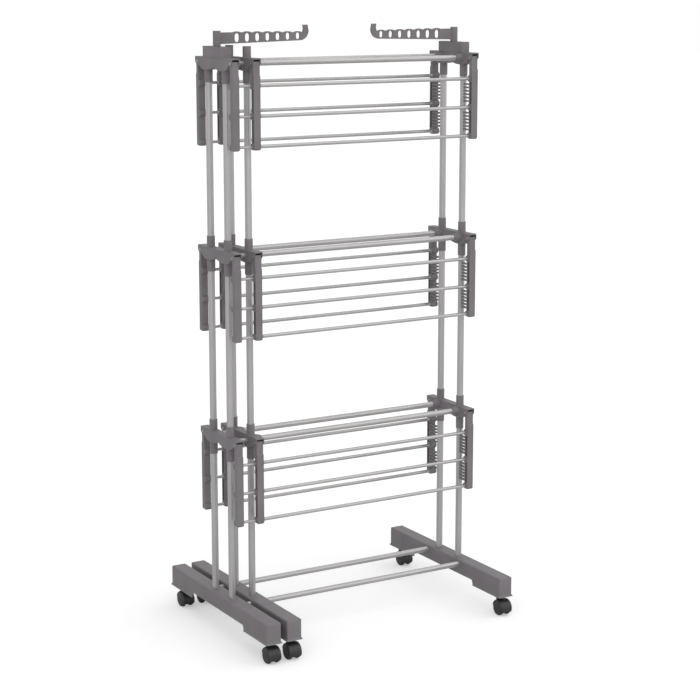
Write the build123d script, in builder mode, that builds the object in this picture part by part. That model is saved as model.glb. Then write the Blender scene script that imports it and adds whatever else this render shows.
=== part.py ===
from build123d import *
from math import atan2, degrees
import os

os.makedirs("parts", exist_ok=True)

# Layout in mm: X runs along the rods, -Y is the front, Z is up from the floor
frame_span = 762.8  # outer posts to right posts, pushed together
nest_offset = 63.2  # outer posts to inner posts, pushed together
post_spacing = 104.0  # front post to rear post of one end frame
first_tier = 565.0  # floor to the lowest crossbars
tier_pitch = 519.0
tiers = ["lower", "middle", "upper"]
sides = {"front": -1, "rear": 1}

# Tubes and rods
post_d = 19.0
post_wall = 0.8
post_seat = 25.0  # depth of a post in its collar or foot
crossbar_d = 16.0
crossbar_wall = 1.2
slide_bar_wall = 1.0
wing_tube_d = 10.0
wing_tube_wall = 0.7
slide_rod_wall = 0.6
seat_clearance = 0.1  # round a tube or pin in its socket
slide_clearance = 0.3  # between a telescoping rod and what it slides in
bar_seat = 12.0  # depth of a crossbar or base bar in its socket
rod_seat = 10.0  # depth of a wing rod in its socket
rod_end_gap = 8.0  # tip of a pushed-in rod to the closed end of its tube
base_bar_spacing = 170.0
base_bar_height = 101.0

# Brackets that join the posts of one end frame
bracket_length = 220.0
bracket_thickness = 24.0
bracket_rise = 15.0  # flat top edge above the crossbars
bracket_end_drop = 5.0
bracket_end_flat = 20.0  # bracket's end to the start of the lobe
bracket_end_chamfer = 6.0
bracket_lobe_drop = 20.0
bracket_lobe_bulge = 5.0
bracket_arch_drop = 11.0
bracket_arch_bulge = 2.5
collar_d = 22.6
collar_below = 53.5
collar_above = 45.0
boss_length = 18.0
boss_base_d = 29.0
boss_tip_d = 20.0
tower_length = 120.0
tower_thickness = 26.0
tower_rise = 29.0

# Wing hinge: the arm's head turns on a pin under the roof and between the cheeks of the bracket
pivot_inset = 12.0  # pin axis behind the bracket's end
pivot_rise = 2.0  # pin axis above the crossbars
pin_d = 5.0
pin_clearance = 0.08
roof_thickness = 3.5
head_width = 20.0
head_radius = 9.0
head_flat = 4.0  # flat top of the head above the pin axis
fork_clearance = 0.4
shoulder_reach = 14.0  # pin axis to the arm's full width

# Wing arms with their rod bosses and hanger combs
arm_width = 20.0
arm_depth = 15.0
arm_wall = 3.0  # round the hollow behind the arm's open side
neck_drop = 30.0
neck_setback = 3.0
neck_inset = 15.0  # arm's outer face to the neck's inner side at the shoulder
arm_corner_radius = 5.0
rod_inset = 14.0  # rod axis behind the arm's outer face
first_rod_drop = 58.0
rod_pitch = 81.3
rods_per_wing = 3
rod_boss_d = 18.8
socket_nub = 5.0  # tube socket standing out of the arm's side
socket_nub_d = 14.0
comb_teeth = 6  # between two rods
comb_pitch = 9.6
comb_plate = 8.0
comb_reach = 44.0  # arm's outer face to the tips of the teeth
tooth_root = 3.8
tooth_tip = 5.4

# Feet
foot_length = 600.0
foot_width = 44.5
foot_top = 114.5
foot_bottom = 57.0
foot_arch_bottom = 72.0
foot_arch_length = 316.0
foot_arch_slope = 6.0
foot_edge_radius = 4.5
foot_edge_ease = 0.5  # top edges are a little sharper than the upright corners
foot_lip = 3.0  # flare round the lower edge of both ends
foot_lip_height = 5.0
foot_wall = 3.0
foot_core = 220.0  # solid middle that holds the posts and base bars
stem_boss_d = 20.0

# Swivel casters with twin wheels
caster_inset = 31.0  # foot's end to the stem axis
caster_trail = 15.0  # stem axis to the axle
stem_d = 10.0
stem_height = 24.0
stem_clearance = 0.1
stem_end_gap = 0.5
wheel_d = 44.0
wheel_width = 10.0
wheel_gap = 20.0
wheel_shoulder = 7.0
hub_cap_d = 14.0
hub_cap_rise = 0.8
axle_d = 6.0
axle_clearance = 0.08
running_gap = 0.5  # caster's web to each wheel
web_lower_edge = 11.5
hood_width = 36.0
hood_thickness = 2.0
hood_gap = 0.8  # wheel to hood
hood_start = 10.0  # degrees above the stem's side of the axle
hood_sweep = 195.0
caster_neck_d = 18.0
caster_neck_height = 26.0
caster_seat_gap = 0.3

# Swinging hook arms with hanger holes
hub_d = 21.0
hub_height = 41.0
hub_seat_gap = 0.3
stud_d = 8.0
stud_height = 26.0
stud_clearance = 0.08
stud_end_gap = 0.5
hook_plate = 6.0
hook_lift = 5.5  # arm's lower edge above the tower, at the pivot
hook_edge_rise = 7.0  # lower edge from the pivot to the tip
hook_top = 31.3  # plain part's top edge
hook_valleys = (29.6, 27.4)  # valleys between the scallops, at the first and last hole
hook_scallop_rise = 4.0
hook_hole_count = 7
hook_hole_pitch = 31.2
hook_first_hole = 60.0  # pivot to the first hole
hook_hole_widths = (14.5, 12.5)  # first and last hole
hook_hole_heights = (24.0, 18.5)
hook_hole_margin = 3.2  # lower edge to the holes
hook_bend_start = 7.0  # last hole to the start of the bend
hook_bend_rise = 27.0
hook_tip_run = 33.5  # last hole to the end of the tip
hook_tip_width = 14.0
hook_tip_rise = 48.5  # to the top of the tip
hook_tip_lean = 3.0

# Places that follow from the sizes above
x_outer = -frame_span / 2
x_inner = x_outer + nest_offset
x_right = frame_span / 2
heights = {tier: first_tier + tier_pitch * i for i, tier in enumerate(tiers)}
post_y = post_spacing / 2
base_bar_y = base_bar_spacing / 2
end_y = bracket_length / 2
pivot_y = end_y - pivot_inset
rod_y = end_y - rod_inset
rod_drops = [first_rod_drop + rod_pitch * i for i in range(rods_per_wing)]
arm_length = rod_drops[-1] + rod_boss_d / 2
slide_bar_d = crossbar_d - 2 * (crossbar_wall + slide_clearance)
slide_rod_d = wing_tube_d - 2 * (wing_tube_wall + slide_clearance)
bar_bore_d = crossbar_d - 2 * crossbar_wall
rod_bore_d = wing_tube_d - 2 * wing_tube_wall
slide_bar_bore_d = slide_bar_d - 2 * slide_bar_wall
slide_rod_bore_d = slide_rod_d - 2 * slide_rod_wall
fork_width = head_width + 2 * fork_clearance
tower_top = heights["upper"] + bracket_rise + tower_rise
inner_foot_face = x_inner + foot_width / 2
right_foot_face = x_right - foot_width / 2
caster_spacing = foot_length - 2 * caster_inset
axle_height = wheel_d / 2
wheel_span = wheel_gap + 2 * wheel_width
hood_rise = hood_gap + hood_thickness
boss_reach = bracket_thickness / 2 + boss_length
base_places = [(-base_bar_y, base_bar_height), (base_bar_y, base_bar_height)]


def keep(piece, name):
    piece.part.label = name
    export_step(piece.part, f"parts/{name}.step")


def station(x, z, side=1):
    # A plane across the rods at x: local x points outward on that side, local y up from z
    return Plane(origin=(x, 0, z), x_dir=(0, side, 0), z_dir=(side, 0, 0))


def bars(ends, places, outer_d, bore_d=0):
    # Straight bars along X between two ends, one at each (y, z) place
    start, end = ends
    with BuildSketch(Plane.YZ.offset(start)) as section:
        with Locations(*places):
            Circle(outer_d / 2)
            if bore_d:
                Circle(bore_d / 2, mode=Mode.SUBTRACT)
    extrude(section.sketch, amount=end - start)


def post_pair(x, low, high):
    with BuildSketch(Plane.XY.offset(low)) as section:
        with Locations((x, -post_y), (x, post_y)):
            Circle(post_d / 2)
            Circle(post_d / 2 - post_wall, mode=Mode.SUBTRACT)
    extrude(section.sketch, amount=high - low)


def post_sockets(x, low, high):
    with Locations((x, -post_y, low), (x, post_y, low)):
        Cylinder(post_d / 2 + seat_clearance, high - low, align=seat, mode=Mode.SUBTRACT)


def bar_sockets(x, facing, depth, places, diameter):
    # Blind holes from the face at x, going in against the facing direction
    with Locations(*[(x - facing * depth, y, z) for y, z in places]):
        Cylinder(
            diameter / 2 + seat_clearance, depth,
            rotation=(0, 90 * facing, 0), align=seat, mode=Mode.SUBTRACT,
        )


def bracket_plate(x, z):
    with BuildSketch(station(x, z)) as profile:
        with BuildLine():
            edge = Polyline(
                (0, bracket_rise),
                (end_y, bracket_rise),
                (end_y, bracket_end_chamfer - bracket_end_drop),
                (end_y - bracket_end_chamfer, -bracket_end_drop),
                (end_y - bracket_end_flat, -bracket_end_drop),
            )
            lobe = SagittaArc(edge @ 1, (post_y, -bracket_lobe_drop), bracket_lobe_bulge)
            SagittaArc(lobe @ 1, (0, -bracket_arch_drop), bracket_arch_bulge)
            mirror(about=Plane.YZ)
        make_face()
    extrude(profile.sketch, amount=bracket_thickness / 2, both=True)


def bracket_forks(x, z):
    slot_depth = pivot_inset + head_radius + fork_clearance
    slot_top = bracket_rise - roof_thickness
    slot_height = slot_top + bracket_lobe_drop
    with BuildSketch(station(x, z)) as slots:
        for side in sides.values():
            with Locations((side * (end_y - slot_depth / 2), slot_top - slot_height / 2)):
                Rectangle(slot_depth, slot_height)
    extrude(slots.sketch, amount=fork_width / 2, both=True, mode=Mode.SUBTRACT)
    with BuildSketch(station(x, z)) as holes:
        with Locations((-pivot_y, pivot_rise), (pivot_y, pivot_rise)):
            Circle(pin_d / 2 + seat_clearance)
    extrude(holes.sketch, amount=bracket_thickness / 2, both=True, mode=Mode.SUBTRACT)


def collars(x, low, high):
    with BuildSketch(Plane.XY.offset(low)) as section:
        with Locations((x, -post_y), (x, post_y)):
            Circle(collar_d / 2)
    extrude(section.sketch, amount=high - low)


def bar_bosses(x, z, facing):
    face = x + facing * bracket_thickness / 2
    turn = (0, 90 * facing, 0)
    with Locations((face, -post_y, z), (face, post_y, z)):
        Cone(boss_base_d / 2, boss_tip_d / 2, boss_length, rotation=turn, align=seat)


def arm(x, z, side, facing, opens, rod_d, is_inner=False, has_comb=False):
    # One wing arm, hollow from its open side between the rod bosses, with its head round the pin
    shoulder = pivot_rise - shoulder_reach
    with BuildSketch(station(x, z, side)) as body:
        with BuildLine():
            Polyline(
                (end_y - neck_inset, shoulder),
                (end_y - neck_setback, shoulder),
                (end_y - neck_setback, -neck_drop),
                (end_y, -neck_drop - neck_setback),
                (end_y, -rod_drops[-1]),
                (end_y - arm_depth, -rod_drops[-1]),
                (end_y - arm_depth, -neck_drop),
                close=True,
            )
        make_face()
        for drop in rod_drops:
            with Locations((end_y - rod_inset / 2, -drop)):
                Rectangle(rod_inset, rod_boss_d)
            with Locations((rod_y, -drop)):
                Circle(rod_boss_d / 2)
        lowest = body.vertices().sort_by(Axis.Y)[:4].sort_by(Axis.X)[-1]
        fillet(lowest, arm_corner_radius)
        if is_inner:
            with Locations(*[(rod_y, -drop) for drop in rod_drops]):
                Circle(rod_bore_d / 2, mode=Mode.SUBTRACT)
    extrude(body.sketch, amount=arm_width / 2, both=True)
    lower_end = Plane((x, side * end_y, z - arm_length), x_dir=(side, 0, 0), z_dir=(0, -side, 0))
    corner = arm_corner_radius
    with BuildSketch(lower_end) as corners:
        with Locations((0, corner / 2)):
            Rectangle(arm_width, corner)
        with Locations((0, corner)):
            Rectangle(arm_width - 2 * corner, 2 * corner, mode=Mode.SUBTRACT)
            with GridLocations(arm_width - 2 * corner, 0, 2, 1):
                Circle(corner, mode=Mode.SUBTRACT)
    extrude(corners.sketch, amount=rod_inset + rod_boss_d / 2, mode=Mode.SUBTRACT)
    open_side = station(x + opens * arm_width / 2, z, side)
    with BuildSketch(open_side) as hollows:
        for drop in rod_drops[:-1]:
            with Locations((end_y - arm_depth / 2, -drop - rod_pitch / 2)):
                Rectangle(arm_depth - 2 * arm_wall, rod_pitch - rod_boss_d)
    extrude(hollows.sketch, amount=-opens * side * (arm_width - arm_wall), mode=Mode.SUBTRACT)
    if has_comb:
        root_x = end_y - arm_depth
        tip_x = end_y - comb_reach
        with BuildSketch(open_side) as comb:
            for drop in rod_drops[:-1]:
                with Locations((0, -drop - rod_pitch / 2)):
                    with GridLocations(0, comb_pitch, 1, comb_teeth):
                        Polygon(
                            (root_x, tooth_root / 2),
                            (tip_x, tooth_tip / 2),
                            (tip_x, -tooth_tip / 2),
                            (root_x, -tooth_root / 2),
                            align=None,
                        )
        extrude(comb.sketch, amount=-opens * side * comb_plate)
    places = [(side * rod_y, z - drop) for drop in rod_drops]
    face = x + facing * arm_width / 2
    bar_sockets(face, facing, rod_seat, places, rod_d)
    if is_inner:
        nub_face = face + facing * socket_nub
        with Locations(*[(face, y, v) for y, v in places]):
            Cylinder(socket_nub_d / 2, socket_nub, rotation=(0, 90 * facing, 0), align=seat)
        bar_sockets(nub_face, facing, socket_nub, places, rod_d)
    with BuildSketch(station(x, z, side)) as head:
        with Locations((pivot_y, pivot_rise)):
            Circle(head_radius)
        Polygon(
            (pivot_y + head_radius, pivot_rise),
            (end_y - neck_setback, shoulder),
            (end_y - neck_inset, shoulder),
            (pivot_y - head_radius / 2**0.5, pivot_rise - head_radius / 2**0.5),
            align=None,
        )
        with Locations((pivot_y, pivot_rise + head_flat + head_radius)):
            Rectangle(3 * head_radius, 2 * head_radius, mode=Mode.SUBTRACT)
        with Locations((pivot_y, pivot_rise)):
            Circle(pin_d / 2 + pin_clearance, mode=Mode.SUBTRACT)
    extrude(head.sketch, amount=head_width / 2, both=True)


seat = (Align.CENTER, Align.CENTER, Align.MIN)
frames = {"outer": x_outer, "inner": x_inner, "right": x_right}
inward = {"outer": 1, "inner": 1, "right": -1}

# Feet: hollow ends round the caster sockets, and a solid middle with the posts and base bars
for name, x in frames.items():
    with BuildPart() as foot:
        with BuildSketch(station(x, 0)) as outline:
            with BuildLine():
                Polyline(
                    (0, foot_arch_bottom),
                    (foot_arch_length / 2, foot_arch_bottom),
                    (foot_arch_length / 2 + foot_arch_slope, foot_bottom),
                    (foot_length / 2, foot_bottom),
                    (foot_length / 2, foot_top),
                    (0, foot_top),
                )
                mirror(about=Plane.YZ)
            make_face()
        extrude(amount=foot_width / 2, both=True)
        fillet(foot.edges().filter_by(Axis.Z), foot_edge_radius)
        fillet(foot.faces().sort_by(Axis.Z)[-1].edges(), foot_edge_radius - foot_edge_ease)
        lip_start = foot_arch_length / 2 + foot_arch_slope - foot_lip
        lip_end = foot_length / 2 + foot_lip
        with BuildSketch(Plane((x, 0, foot_bottom))) as lips:
            with GridLocations(0, lip_start + lip_end, 1, 2):
                RectangleRounded(foot_width + 2 * foot_lip, lip_end - lip_start, foot_edge_radius)
        extrude(lips.sketch, amount=foot_lip_height, taper=degrees(atan2(foot_lip, foot_lip_height)))
        pocket_start = foot_core / 2
        pocket_end = foot_length / 2 - foot_wall
        pocket_height = foot_top - foot_wall - foot_bottom
        pocket_size = (foot_width - 2 * foot_wall, pocket_end - pocket_start, pocket_height)
        with Locations((x, 0, foot_bottom)):
            with GridLocations(0, pocket_start + pocket_end, 1, 2):
                Box(*pocket_size, align=seat, mode=Mode.SUBTRACT)
            with GridLocations(0, caster_spacing, 1, 2):
                Cylinder(stem_boss_d / 2, pocket_height, align=seat)
                Cylinder(
                    stem_d / 2 + stem_clearance, stem_height - caster_seat_gap + stem_end_gap,
                    align=seat, mode=Mode.SUBTRACT,
                )
        post_sockets(x, foot_top - post_seat, foot_top)
        bar_d = slide_bar_d if name == "outer" else crossbar_d
        bar_sockets(x + inward[name] * foot_width / 2, inward[name], bar_seat, base_places, bar_d)
        if name == "inner":
            with Locations((x, 0, base_bar_height)):
                with GridLocations(0, base_bar_spacing, 1, 2):
                    Cylinder(bar_bore_d / 2, foot_width, rotation=(0, 90, 0), mode=Mode.SUBTRACT)
    keep(foot, f"{name}_foot")

# Posts: three lengths of tube at each corner, from the foot up and from bracket to bracket
for name, x in frames.items():
    with BuildPart() as posts:
        low = foot_top - post_seat
        for tier in tiers:
            post_pair(x, low, heights[tier] - collar_below + post_seat)
            low = heights[tier] + collar_above - post_seat
    keep(posts, f"{name}_posts")

# Brackets with collars for the posts, bosses for the crossbars and forks for the wings
for name, x in frames.items():
    for tier in tiers:
        z = heights[tier]
        has_tower = tier == "upper" and name != "inner"
        bar_places = [(-post_y, z), (post_y, z)]
        with BuildPart() as bracket:
            bracket_plate(x, z)
            bracket_forks(x, z)
            if has_tower:
                collars(x, z - collar_below, z)
                with Locations((x, 0, z + bracket_rise)):
                    Box(tower_thickness, tower_length, tower_rise, align=seat)
                with Locations((x, 0, tower_top)):
                    Cylinder(stud_d / 2, stud_height, align=seat)
            else:
                collars(x, z - collar_below, z + collar_above)
            post_sockets(x, z - collar_below, z - collar_below + post_seat)
            if tier != "upper":
                post_sockets(x, z + collar_above - post_seat, z + collar_above)
            if name == "outer":
                bar_sockets(x + bracket_thickness / 2, 1, bar_seat, bar_places, slide_bar_d)
            else:
                bar_bosses(x, z, inward[name])
                boss_face = x + inward[name] * boss_reach
                bar_sockets(boss_face, inward[name], bar_seat, bar_places, crossbar_d)
            if name == "inner":
                bore_length = bracket_thickness + 2 * boss_length
                with Locations((x, 0, z)):
                    with GridLocations(0, post_spacing, 1, 2):
                        Cylinder(bar_bore_d / 2, bore_length, rotation=(0, 90, 0), mode=Mode.SUBTRACT)
        keep(bracket, f"{name}_{tier}_bracket")

# Crossbars and base bars: tubes of the main frame, and the outer frame's bars inside them
bar_places = [(y, z) for z in heights.values() for y in (-post_y, post_y)]
bar_end = x_right - boss_reach + bar_seat
base_bar_end = right_foot_face + bar_seat
with BuildPart() as crossbars:
    bars((x_inner + boss_reach - bar_seat, bar_end), bar_places, crossbar_d, bar_bore_d)
keep(crossbars, "crossbars")

with BuildPart() as base_bars:
    bars((inner_foot_face - bar_seat, base_bar_end), base_places, crossbar_d, bar_bore_d)
keep(base_bars, "base_bars")

with BuildPart() as slide_crossbars:
    bar_start = x_outer + bracket_thickness / 2 - bar_seat
    bars((bar_start, bar_end - rod_end_gap), bar_places, slide_bar_d, slide_bar_bore_d)
keep(slide_crossbars, "slide_crossbars")

with BuildPart() as slide_base_bars:
    base_bar_start = x_outer + foot_width / 2 - bar_seat
    bars((base_bar_start, base_bar_end - rod_end_gap), base_places, slide_bar_d, slide_bar_bore_d)
keep(slide_base_bars, "slide_base_bars")

# Hinge pins, flush with the outer faces of the brackets' cheeks
pin_places = [(y, z + pivot_rise) for z in heights.values() for y in (-pivot_y, pivot_y)]
for name, x in frames.items():
    with BuildPart() as pins:
        bars((x - bracket_thickness / 2, x + bracket_thickness / 2), pin_places, pin_d)
    keep(pins, f"{name}_hinge_pins")

# Wings: two arms with their tubes, and a sliding arm with the rods that run in the tubes
for side_name, side in sides.items():
    for tier in tiers:
        z = heights[tier]
        wing = f"{side_name}_{tier}"
        rod_places = [(side * rod_y, z - drop) for drop in rod_drops]
        rod_end = x_right - arm_width / 2 + rod_seat

        with BuildPart() as arms:
            arm(x_inner, z, side, 1, -1, wing_tube_d, is_inner=True)
            arm(x_right, z, side, -1, -1, wing_tube_d, has_comb=True)
        keep(arms, f"{wing}_wing_arms")

        with BuildPart() as tubes:
            tube_start = x_inner + arm_width / 2 - rod_seat
            bars((tube_start, rod_end), rod_places, wing_tube_d, rod_bore_d)
        keep(tubes, f"{wing}_wing_tubes")

        with BuildPart() as slide_arm:
            arm(x_outer, z, side, 1, 1, slide_rod_d)
        keep(slide_arm, f"{wing}_slide_arm")

        with BuildPart() as slide_rods:
            rod_start = x_outer + arm_width / 2 - rod_seat
            bars((rod_start, rod_end - rod_end_gap), rod_places, slide_rod_d, slide_rod_bore_d)
        keep(slide_rods, f"{wing}_slide_rods")

# Hook arms that swing on the studs of the two towers
for name, x, facing_x in [("left", x_outer, 1), ("right", x_right, -1)]:
    hook_plane = Plane((x, 0, tower_top + hook_lift), x_dir=(facing_x, 0, 0), z_dir=(0, -facing_x, 0))
    hole_x = [hook_first_hole + hook_hole_pitch * i for i in range(hook_hole_count)]
    tip_end = hole_x[-1] + hook_tip_run
    edge_slope = hook_edge_rise / tip_end
    bend_x = hole_x[-1] + hook_bend_start
    valley_x = [u + hook_hole_pitch / 2 for u in hole_x]
    valley_slope = (hook_valleys[1] - hook_valleys[0]) / (hole_x[-1] - hole_x[0])
    valley_points = [(u, hook_valleys[0] + valley_slope * (u - hole_x[0])) for u in reversed(valley_x)]
    plain_end = (hole_x[0] - hook_hole_pitch / 2, hook_valleys[0])
    inner_x = tip_end - hook_tip_lean - hook_tip_width
    with BuildPart() as hook:
        with BuildSketch(hook_plane) as blade:
            with BuildLine():
                edge = Line((0, 0), (bend_x, edge_slope * bend_x))
                bend_end = (tip_end, edge_slope * bend_x + hook_bend_rise)
                bend = TangentArc(edge @ 1, bend_end, tangent=edge % 1)
                Polyline(
                    bend @ 1,
                    (tip_end - hook_tip_lean, hook_tip_rise),
                    (inner_x, hook_tip_rise),
                    (inner_x + hook_tip_lean / 2, (hook_tip_rise + valley_points[0][1]) / 2),
                    valley_points[0],
                )
                for start, end in zip(valley_points, valley_points[1:] + [plain_end]):
                    SagittaArc(start, end, -hook_scallop_rise)
                Polyline(plain_end, (plain_end[0], hook_top), (0, hook_top), (0, 0))
            make_face()
            for i, u in enumerate(hole_x):
                share = i / (hook_hole_count - 1)
                width = hook_hole_widths[0] + share * (hook_hole_widths[1] - hook_hole_widths[0])
                height = hook_hole_heights[0] + share * (hook_hole_heights[1] - hook_hole_heights[0])
                with Locations((u, edge_slope * u + hook_hole_margin + height / 2)):
                    SlotOverall(height, width, rotation=90, mode=Mode.SUBTRACT)
        extrude(amount=hook_plate / 2, both=True)
        with Locations((x, 0, tower_top + hub_seat_gap)):
            Cylinder(hub_d / 2, hub_height, align=seat)
        with Locations((x, 0, tower_top + hub_seat_gap)):
            Cylinder(
                stud_d / 2 + stud_clearance, stud_height - hub_seat_gap + stud_end_gap,
                align=seat, mode=Mode.SUBTRACT,
            )
    keep(hook, f"{name}_hook_arm")

# Casters: a swivelling hood on a stem, with twin wheels on an axle behind it
for name, x in frames.items():
    for side_name, side in sides.items():
        stem_y = side * caster_spacing / 2
        axle_y = stem_y - caster_trail
        seat_z = foot_bottom - caster_seat_gap
        axle_plane = Plane((x, axle_y, axle_height))
        axle = Axis((x, axle_y, axle_height), (1, 0, 0))
        with BuildPart() as housing:
            with BuildSketch(station(x, 0)) as web:
                with Locations((axle_y, axle_height)):
                    Circle(wheel_d / 2 + hood_rise)
                with Locations((axle_y, web_lower_edge - wheel_d)):
                    Rectangle(2 * wheel_d, 2 * wheel_d, mode=Mode.SUBTRACT)
                with Locations((axle_y, axle_height)):
                    Circle(axle_d / 2 + axle_clearance, mode=Mode.SUBTRACT)
            extrude(amount=wheel_gap / 2 - running_gap, both=True)
            with BuildSketch(axle_plane.rotated((hood_start, 0, 0))) as hood:
                RectangleRounded(
                    wheel_span + 2 * hood_rise, wheel_d + 2 * hood_rise, wheel_shoulder + hood_rise
                )
                RectangleRounded(
                    wheel_span + 2 * hood_gap, wheel_d + 2 * hood_gap, wheel_shoulder + hood_gap,
                    mode=Mode.SUBTRACT,
                )
                with Locations((0, wheel_d / 2)):
                    Rectangle(hood_width, wheel_d, mode=Mode.INTERSECT)
            revolve(axis=axle, revolution_arc=hood_sweep)
            with Locations((x, stem_y, seat_z - caster_neck_height)):
                Cylinder(caster_neck_d / 2, caster_neck_height, align=seat)
            with Locations((x, stem_y, seat_z)):
                Cylinder(stem_d / 2, stem_height, align=seat)
        keep(housing, f"{name}_{side_name}_caster")

        with BuildPart() as wheels:
            with BuildSketch(axle_plane) as section:
                RectangleRounded(wheel_span, wheel_d, wheel_shoulder)
                Rectangle(wheel_span + 2 * hub_cap_rise, hub_cap_d)
                with Locations((0, (axle_d + wheel_d) / 2)):
                    Rectangle(wheel_gap, wheel_d, mode=Mode.SUBTRACT)
                with Locations((0, -wheel_d)):
                    Rectangle(2 * wheel_span, 2 * wheel_d, mode=Mode.SUBTRACT)
            revolve(axis=axle)
        keep(wheels, f"{name}_{side_name}_wheels")
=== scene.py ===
import math

import bpy
from mathutils import Euler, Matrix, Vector

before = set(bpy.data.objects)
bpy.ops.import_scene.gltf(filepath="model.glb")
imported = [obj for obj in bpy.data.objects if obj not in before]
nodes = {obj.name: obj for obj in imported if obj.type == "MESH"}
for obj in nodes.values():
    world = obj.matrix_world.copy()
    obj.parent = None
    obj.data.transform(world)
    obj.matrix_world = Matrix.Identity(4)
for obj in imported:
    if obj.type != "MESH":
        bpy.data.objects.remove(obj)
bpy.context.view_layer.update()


class Wire:  # a node's output that takes part in Python arithmetic
    def __init__(self, finish, socket):
        self.finish = finish
        self.socket = socket

    def out(self, name):  # another output of the same node
        return Wire(self.finish, self.socket.node.outputs[name])

    def maths(self, operation, first, second):
        return self.finish.node("ShaderNodeMath", {"operation": operation}, {0: first, 1: second})

    def clamp(self):
        return self.finish.node("ShaderNodeClamp", {}, {0: self})

    def centred(self):  # about the middle of its range, 0 to 1
        return self - 0.5

    def __add__(self, other):
        return self.maths("ADD", self, other)

    def __radd__(self, other):
        return self.maths("ADD", other, self)

    def __sub__(self, other):
        return self.maths("SUBTRACT", self, other)

    def __rsub__(self, other):
        return self.maths("SUBTRACT", other, self)

    def __mul__(self, other):
        return self.maths("MULTIPLY", self, other)

    def __rmul__(self, other):
        return self.maths("MULTIPLY", other, self)


class Finish:  # the nodes of one material, or of the world
    def __init__(self, owner):
        self.owner = owner
        owner.use_nodes = True
        self.tree = owner.node_tree
        self.tree.nodes.clear()

    def node(self, kind, settings=None, sockets=None):
        made = self.tree.nodes.new(kind)
        for key, value in (settings or {}).items():
            if key == "stops":  # a ramp's positions and grey levels
                for spot, (position, level) in zip(made.color_ramp.elements, value):
                    spot.position = position
                    spot.color = (level, level, level, 1)
            else:
                setattr(made, key, value)
        for key, value in (sockets or {}).items():
            if isinstance(value, Wire):
                self.tree.links.new(value.socket, made.inputs[key])
            else:
                made.inputs[key].default_value = value
        return Wire(self, made.outputs[0]) if made.outputs else None

    def place(self):
        return self.node("ShaderNodeTexCoord").out("Object")

    def noise(self, scale, detail, stretch=None):
        where = self.place()
        if stretch:
            where = self.node("ShaderNodeVectorMath", {"operation": "MULTIPLY"}, {0: where, 1: stretch})
        return self.node("ShaderNodeTexNoise", {}, {"Vector": where, "Scale": scale, "Detail": detail})

    def ramp(self, value, band, top=1.0):  # rises from 0 to the top level across the band
        low, high = band
        return self.node("ShaderNodeValToRGB", {"stops": [(low, 0.0), (high, top)]}, {0: value})

    def mix(self, share, first, second):  # blends two colours
        values = {0: share}
        for slot, colour in ((6, first), (7, second)):  # the colour inputs
            values[slot] = colour if isinstance(colour, Wire) else (*colour, 1.0)
        return self.node("ShaderNodeMix", {"data_type": "RGBA"}, values).out(2)  # the colour output

    def softNormal(self, radius):  # normal rounded over sharp edges
        return self.node("ShaderNodeBevel", {"samples": 4}, {"Radius": radius})

    def edgeMask(self, rounded):  # above 0 where the rounded normal leaves the flat one
        flat = self.node("ShaderNodeNewGeometry").out("Normal")
        both = {0: rounded, 1: flat}
        dot = self.node("ShaderNodeVectorMath", {"operation": "DOT_PRODUCT"}, both).out("Value")
        return (1 - dot).clamp()

    def bump(self, height, depth, strength, normal=None):
        values = {"Height": height, "Distance": depth, "Strength": strength}
        if normal:
            values["Normal"] = normal
        return self.node("ShaderNodeBump", {}, values)

    def surface(self, **sockets):
        named = {key.replace("_", " "): value for key, value in sockets.items()}
        shader = self.node("ShaderNodeBsdfPrincipled", {}, named)
        self.node("ShaderNodeOutputMaterial", {}, {"Surface": shader})
        return self.owner


greyPlastic = {
    "tone": (0.157, 0.142, 0.153),
    "paleTone": (0.201, 0.185, 0.196),
    "edgeTone": (0.275, 0.259, 0.269),
    "cloudScale": 16,  # slow drifts of tone
    "grainScale": 900,  # spark-eroded mould texture, about 1 mm
    "grainDepth": 0.00012,
    "scuffShare": 0.24,
    "edgeRadius": 0.0014,
    "roughness": 0.56,
}
blackPlastic = {
    "tone": (0.0175, 0.0171, 0.0171),
    "paleTone": (0.030, 0.0292, 0.0292),
    "edgeTone": (0.085, 0.083, 0.082),
    "cloudScale": 40,
    "grainScale": 1300,
    "grainDepth": 0.00008,
    "scuffShare": 0.18,
    "edgeRadius": 0.0009,
    "roughness": 0.42,
}
moulding = {  # what both plastics share
    "cloudBand": (0.3, 0.7),
    "grainBand": (0.42, 0.62),
    "grainShare": 0.45,
    "rubbedRatio": 9,  # patches of edge wear, finer than the clouds by this
    "rubbedBand": (0.3, 0.65),
    "wornGain": 3.0,
    "wornShare": 0.8,
    "scuffRatio": 5,  # light rubs from handling, likewise
    "scuffStretch": (1.0, 0.12, 5.0),  # long along the feet, thin in height
    "scuffBand": (0.60, 0.72),
    "cloudGloss": 0.16,
    "grainGloss": 0.14,
    "wornGloss": 0.10,
    "grainStrength": 0.5,
    "ior": 1.46,
}


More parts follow.
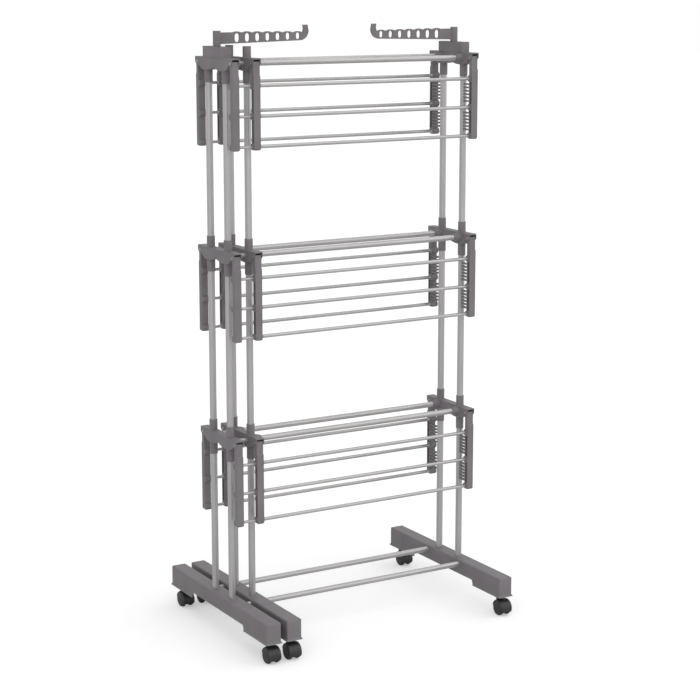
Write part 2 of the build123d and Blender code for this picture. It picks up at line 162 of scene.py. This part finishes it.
def makeMouldedPlastic(name, look):
    finish = Finish(bpy.data.materials.new(name))
    clouds = finish.noise(look["cloudScale"], detail=4.0)
    grain = finish.noise(look["grainScale"], detail=2.5)
    rubbedScale = look["cloudScale"] * moulding["rubbedRatio"]
    rubbed = finish.noise(rubbedScale, detail=3.0)
    scuffScale = look["cloudScale"] * moulding["scuffRatio"]
    scuffs = finish.noise(scuffScale, detail=3.0, stretch=moulding["scuffStretch"])
    rounded = finish.softNormal(look["edgeRadius"])
    worn = finish.edgeMask(rounded) * moulding["wornGain"] * finish.ramp(rubbed, moulding["rubbedBand"])
    worn = worn.clamp()
    tone = finish.mix(finish.ramp(clouds, moulding["cloudBand"]), look["tone"], look["paleTone"])
    grainShare = finish.ramp(grain, moulding["grainBand"], moulding["grainShare"])
    tone = finish.mix(grainShare, tone, look["paleTone"])
    scuffShare = finish.ramp(scuffs, moulding["scuffBand"]) * look["scuffShare"]
    tone = finish.mix(scuffShare, tone, look["edgeTone"])
    colour = finish.mix(worn * moulding["wornShare"], tone, look["edgeTone"])
    gloss = look["roughness"] + moulding["cloudGloss"] * clouds.centred()
    gloss = gloss + moulding["grainGloss"] * grain.centred() - moulding["wornGloss"] * worn
    normal = finish.bump(grain, look["grainDepth"], moulding["grainStrength"], rounded)
    return finish.surface(Base_Color=colour, Roughness=gloss, Normal=normal, IOR=moulding["ior"])


silverTube = {
    "tone": (0.42, 0.410, 0.408),
    "paleTone": (0.50, 0.490, 0.487),
    "flakeScale": 2600,  # metal flakes in the paint
    "flakeShare": 0.25,
    "flakeGloss": 0.05,
    "cloudScale": 9,
    "cloudBand": (0.3, 0.7),
    "cloudShare": 0.45,
    "cloudGloss": 0.14,
    "drawnScale": 60,  # faint lines along the tube
    "drawnBand": (0.35, 0.65),
    "drawnShare": 0.30,
    "drawnGloss": 0.10,
    "alongBar": (0.02, 1.0, 1.0),
    "alongPost": (1.0, 1.0, 0.02),
    "peelScale": 420,  # orange peel of the paint
    "peelDepth": 0.00002,
    "peelStrength": 0.35,
    "edgeRadius": 0.0006,
    "roughness": 0.33,
    "metallic": 0.6,
    "ior": 1.5,
}


def makeSilverTube(name, look, stretch):
    finish = Finish(bpy.data.materials.new(name))
    cells = {"Vector": finish.place(), "Scale": look["flakeScale"]}
    flakes = finish.node("ShaderNodeTexVoronoi", {}, cells).out("Color")
    glint = finish.node("ShaderNodeSeparateColor", {}, {0: flakes})
    peel = finish.noise(look["peelScale"], detail=2.0)
    clouds = finish.noise(look["cloudScale"], detail=4.0)
    drawn = finish.noise(look["drawnScale"], detail=3.0, stretch=stretch)
    share = look["cloudShare"] * finish.ramp(clouds, look["cloudBand"]) + look["flakeShare"] * glint
    share = share + look["drawnShare"] * finish.ramp(drawn, look["drawnBand"])
    colour = finish.mix(share.clamp(), look["tone"], look["paleTone"])
    gloss = look["roughness"] + look["cloudGloss"] * clouds.centred()
    gloss = gloss + look["drawnGloss"] * drawn.centred() + look["flakeGloss"] * glint.centred()
    rounded = finish.softNormal(look["edgeRadius"])
    normal = finish.bump(peel, look["peelDepth"], look["peelStrength"], rounded)
    shine = {"Metallic": look["metallic"], "IOR": look["ior"]}
    return finish.surface(Base_Color=colour, Roughness=gloss, Normal=normal, **shine)


pinSteel = {
    "tone": (0.50, 0.50, 0.50),
    "paleTone": (0.66, 0.66, 0.66),
    "lineScale": 40,  # turning marks round the pins
    "lineStretch": (60.0, 1.0, 1.0),
    "lineBand": (0.3, 0.7),
    "lineDepth": 0.00003,
    "lineStrength": 0.4,
    "lineGloss": 0.2,
    "spotScale": 300,
    "spotGloss": 0.1,
    "roughness": 0.32,
}


def makePinSteel(name, look):
    finish = Finish(bpy.data.materials.new(name))
    lines = finish.noise(look["lineScale"], detail=3.0, stretch=look["lineStretch"])
    spots = finish.noise(look["spotScale"], detail=3.0)
    colour = finish.mix(finish.ramp(lines, look["lineBand"]), look["tone"], look["paleTone"])
    gloss = look["roughness"] + look["lineGloss"] * lines.centred()
    gloss = gloss + look["spotGloss"] * spots.centred()
    normal = finish.bump(lines, look["lineDepth"], look["lineStrength"])
    return finish.surface(Base_Color=colour, Roughness=gloss, Normal=normal, Metallic=1.0)


plastic = makeMouldedPlastic("greyPlastic", greyPlastic)
casterPlastic = makeMouldedPlastic("casterPlastic", blackPlastic)
barTube = makeSilverTube("silverBars", silverTube, silverTube["alongBar"])
postTube = makeSilverTube("silverPosts", silverTube, silverTube["alongPost"])
steel = makePinSteel("pinSteel", pinSteel)
finishByEnding = {  # every other node is grey plastic
    ("caster", "wheels"): casterPlastic,
    ("hinge_pins",): steel,
    ("posts",): postTube,
    ("bars", "tubes", "rods"): barTube,
}

for name, node in nodes.items():
    fitting = [finish for endings, finish in finishByEnding.items() if name.endswith(endings)]
    for slot in node.material_slots:
        slot.material = fitting[0] if fitting else plastic
print("finishes assigned")


studio = {
    "floorSide": 60.0,
    "floorTone": (0.80, 0.80, 0.80),
    "floorGlow": 0.37,  # lifts the lit floor to white for the camera
    "ambient": 0.60,
    "keyFrom": (-0.45, -0.90, 0.66),
    "keyPower": 0.9,
    "keySpread": 70.0,  # degrees, for a soft shadow
    "fillFrom": (0.95, -0.30, 0.42),
    "fillPower": 0.85,
    "fillSpread": 90.0,
}


def makeFloor():
    mesh = bpy.data.meshes.new("studioFloor")
    half = studio["floorSide"] / 2
    corners = [(-half, -half, 0), (half, -half, 0), (half, half, 0), (-half, half, 0)]
    mesh.from_pydata(corners, [], [(0, 1, 2, 3)])
    floor = bpy.data.objects.new("studioFloor", mesh)
    bpy.context.collection.objects.link(floor)
    finish = Finish(bpy.data.materials.new("studioFloor"))
    matte = finish.node("ShaderNodeBsdfDiffuse", {}, {"Color": (*studio["floorTone"], 1)})
    seen = finish.node("ShaderNodeLightPath").out("Is Camera Ray")
    glow = finish.node("ShaderNodeEmission", {}, {"Strength": seen * studio["floorGlow"]})
    both = finish.node("ShaderNodeAddShader", {}, {0: matte, 1: glow})
    under = finish.node("ShaderNodeNewGeometry").out("Backfacing")
    clear = finish.node("ShaderNodeBsdfTransparent")
    oneSided = finish.node("ShaderNodeMixShader", {}, {0: under, 1: both, 2: clear})  # clear from below
    finish.node("ShaderNodeOutputMaterial", {}, {"Surface": oneSided})
    mesh.materials.append(finish.owner)


def makeWorld():
    world = bpy.data.worlds.new("studioWorld")
    bpy.context.scene.world = world
    finish = Finish(world)
    ray = finish.node("ShaderNodeLightPath")
    seen = ray.out("Is Camera Ray") + ray.out("Is Glossy Ray") + ray.out("Is Transmission Ray")
    level = studio["ambient"] + seen.clamp() * (1 - studio["ambient"])  # white where seen or mirrored
    light = finish.node("ShaderNodeBackground", {}, {"Color": (1, 1, 1, 1), "Strength": level})
    finish.node("ShaderNodeOutputWorld", {}, {"Surface": light})


def makeSun(name, source, power, spread):
    lamp = bpy.data.lights.new(name, "SUN")
    lamp.energy = power
    lamp.angle = math.radians(spread)
    holder = bpy.data.objects.new(name, lamp)
    bpy.context.collection.objects.link(holder)
    holder.rotation_euler = Vector(source).to_track_quat("Z", "Y").to_euler()


makeFloor()
makeWorld()
makeSun("keyLamp", studio["keyFrom"], studio["keyPower"], studio["keySpread"])
makeSun("fillLamp", studio["fillFrom"], studio["fillPower"], studio["fillSpread"])
print("floor and lights set")

viewpoint = {
    "place": (-2.6163, -4.4902, 1.8334),
    "yaw": -30.544,  # degrees
    "pitch": 10.622,  # degrees down
    "lens": 94.978,  # millimetres
    "sensorWidth": 36.0,
    "shiftY": -0.04,
}


def makeCamera():
    camera = bpy.data.cameras.new("photoCamera")
    camera.lens = viewpoint["lens"]
    camera.sensor_width = viewpoint["sensorWidth"]
    camera.shift_y = viewpoint["shiftY"]
    holder = bpy.data.objects.new("photoCamera", camera)
    bpy.context.collection.objects.link(holder)
    holder.location = viewpoint["place"]
    tilt = math.radians(90 - viewpoint["pitch"])
    holder.rotation_euler = Euler((tilt, 0, math.radians(viewpoint["yaw"])))
    bpy.context.scene.camera = holder


makeCamera()
bpy.context.scene.view_settings.view_transform = "Standard"
print("camera placed")
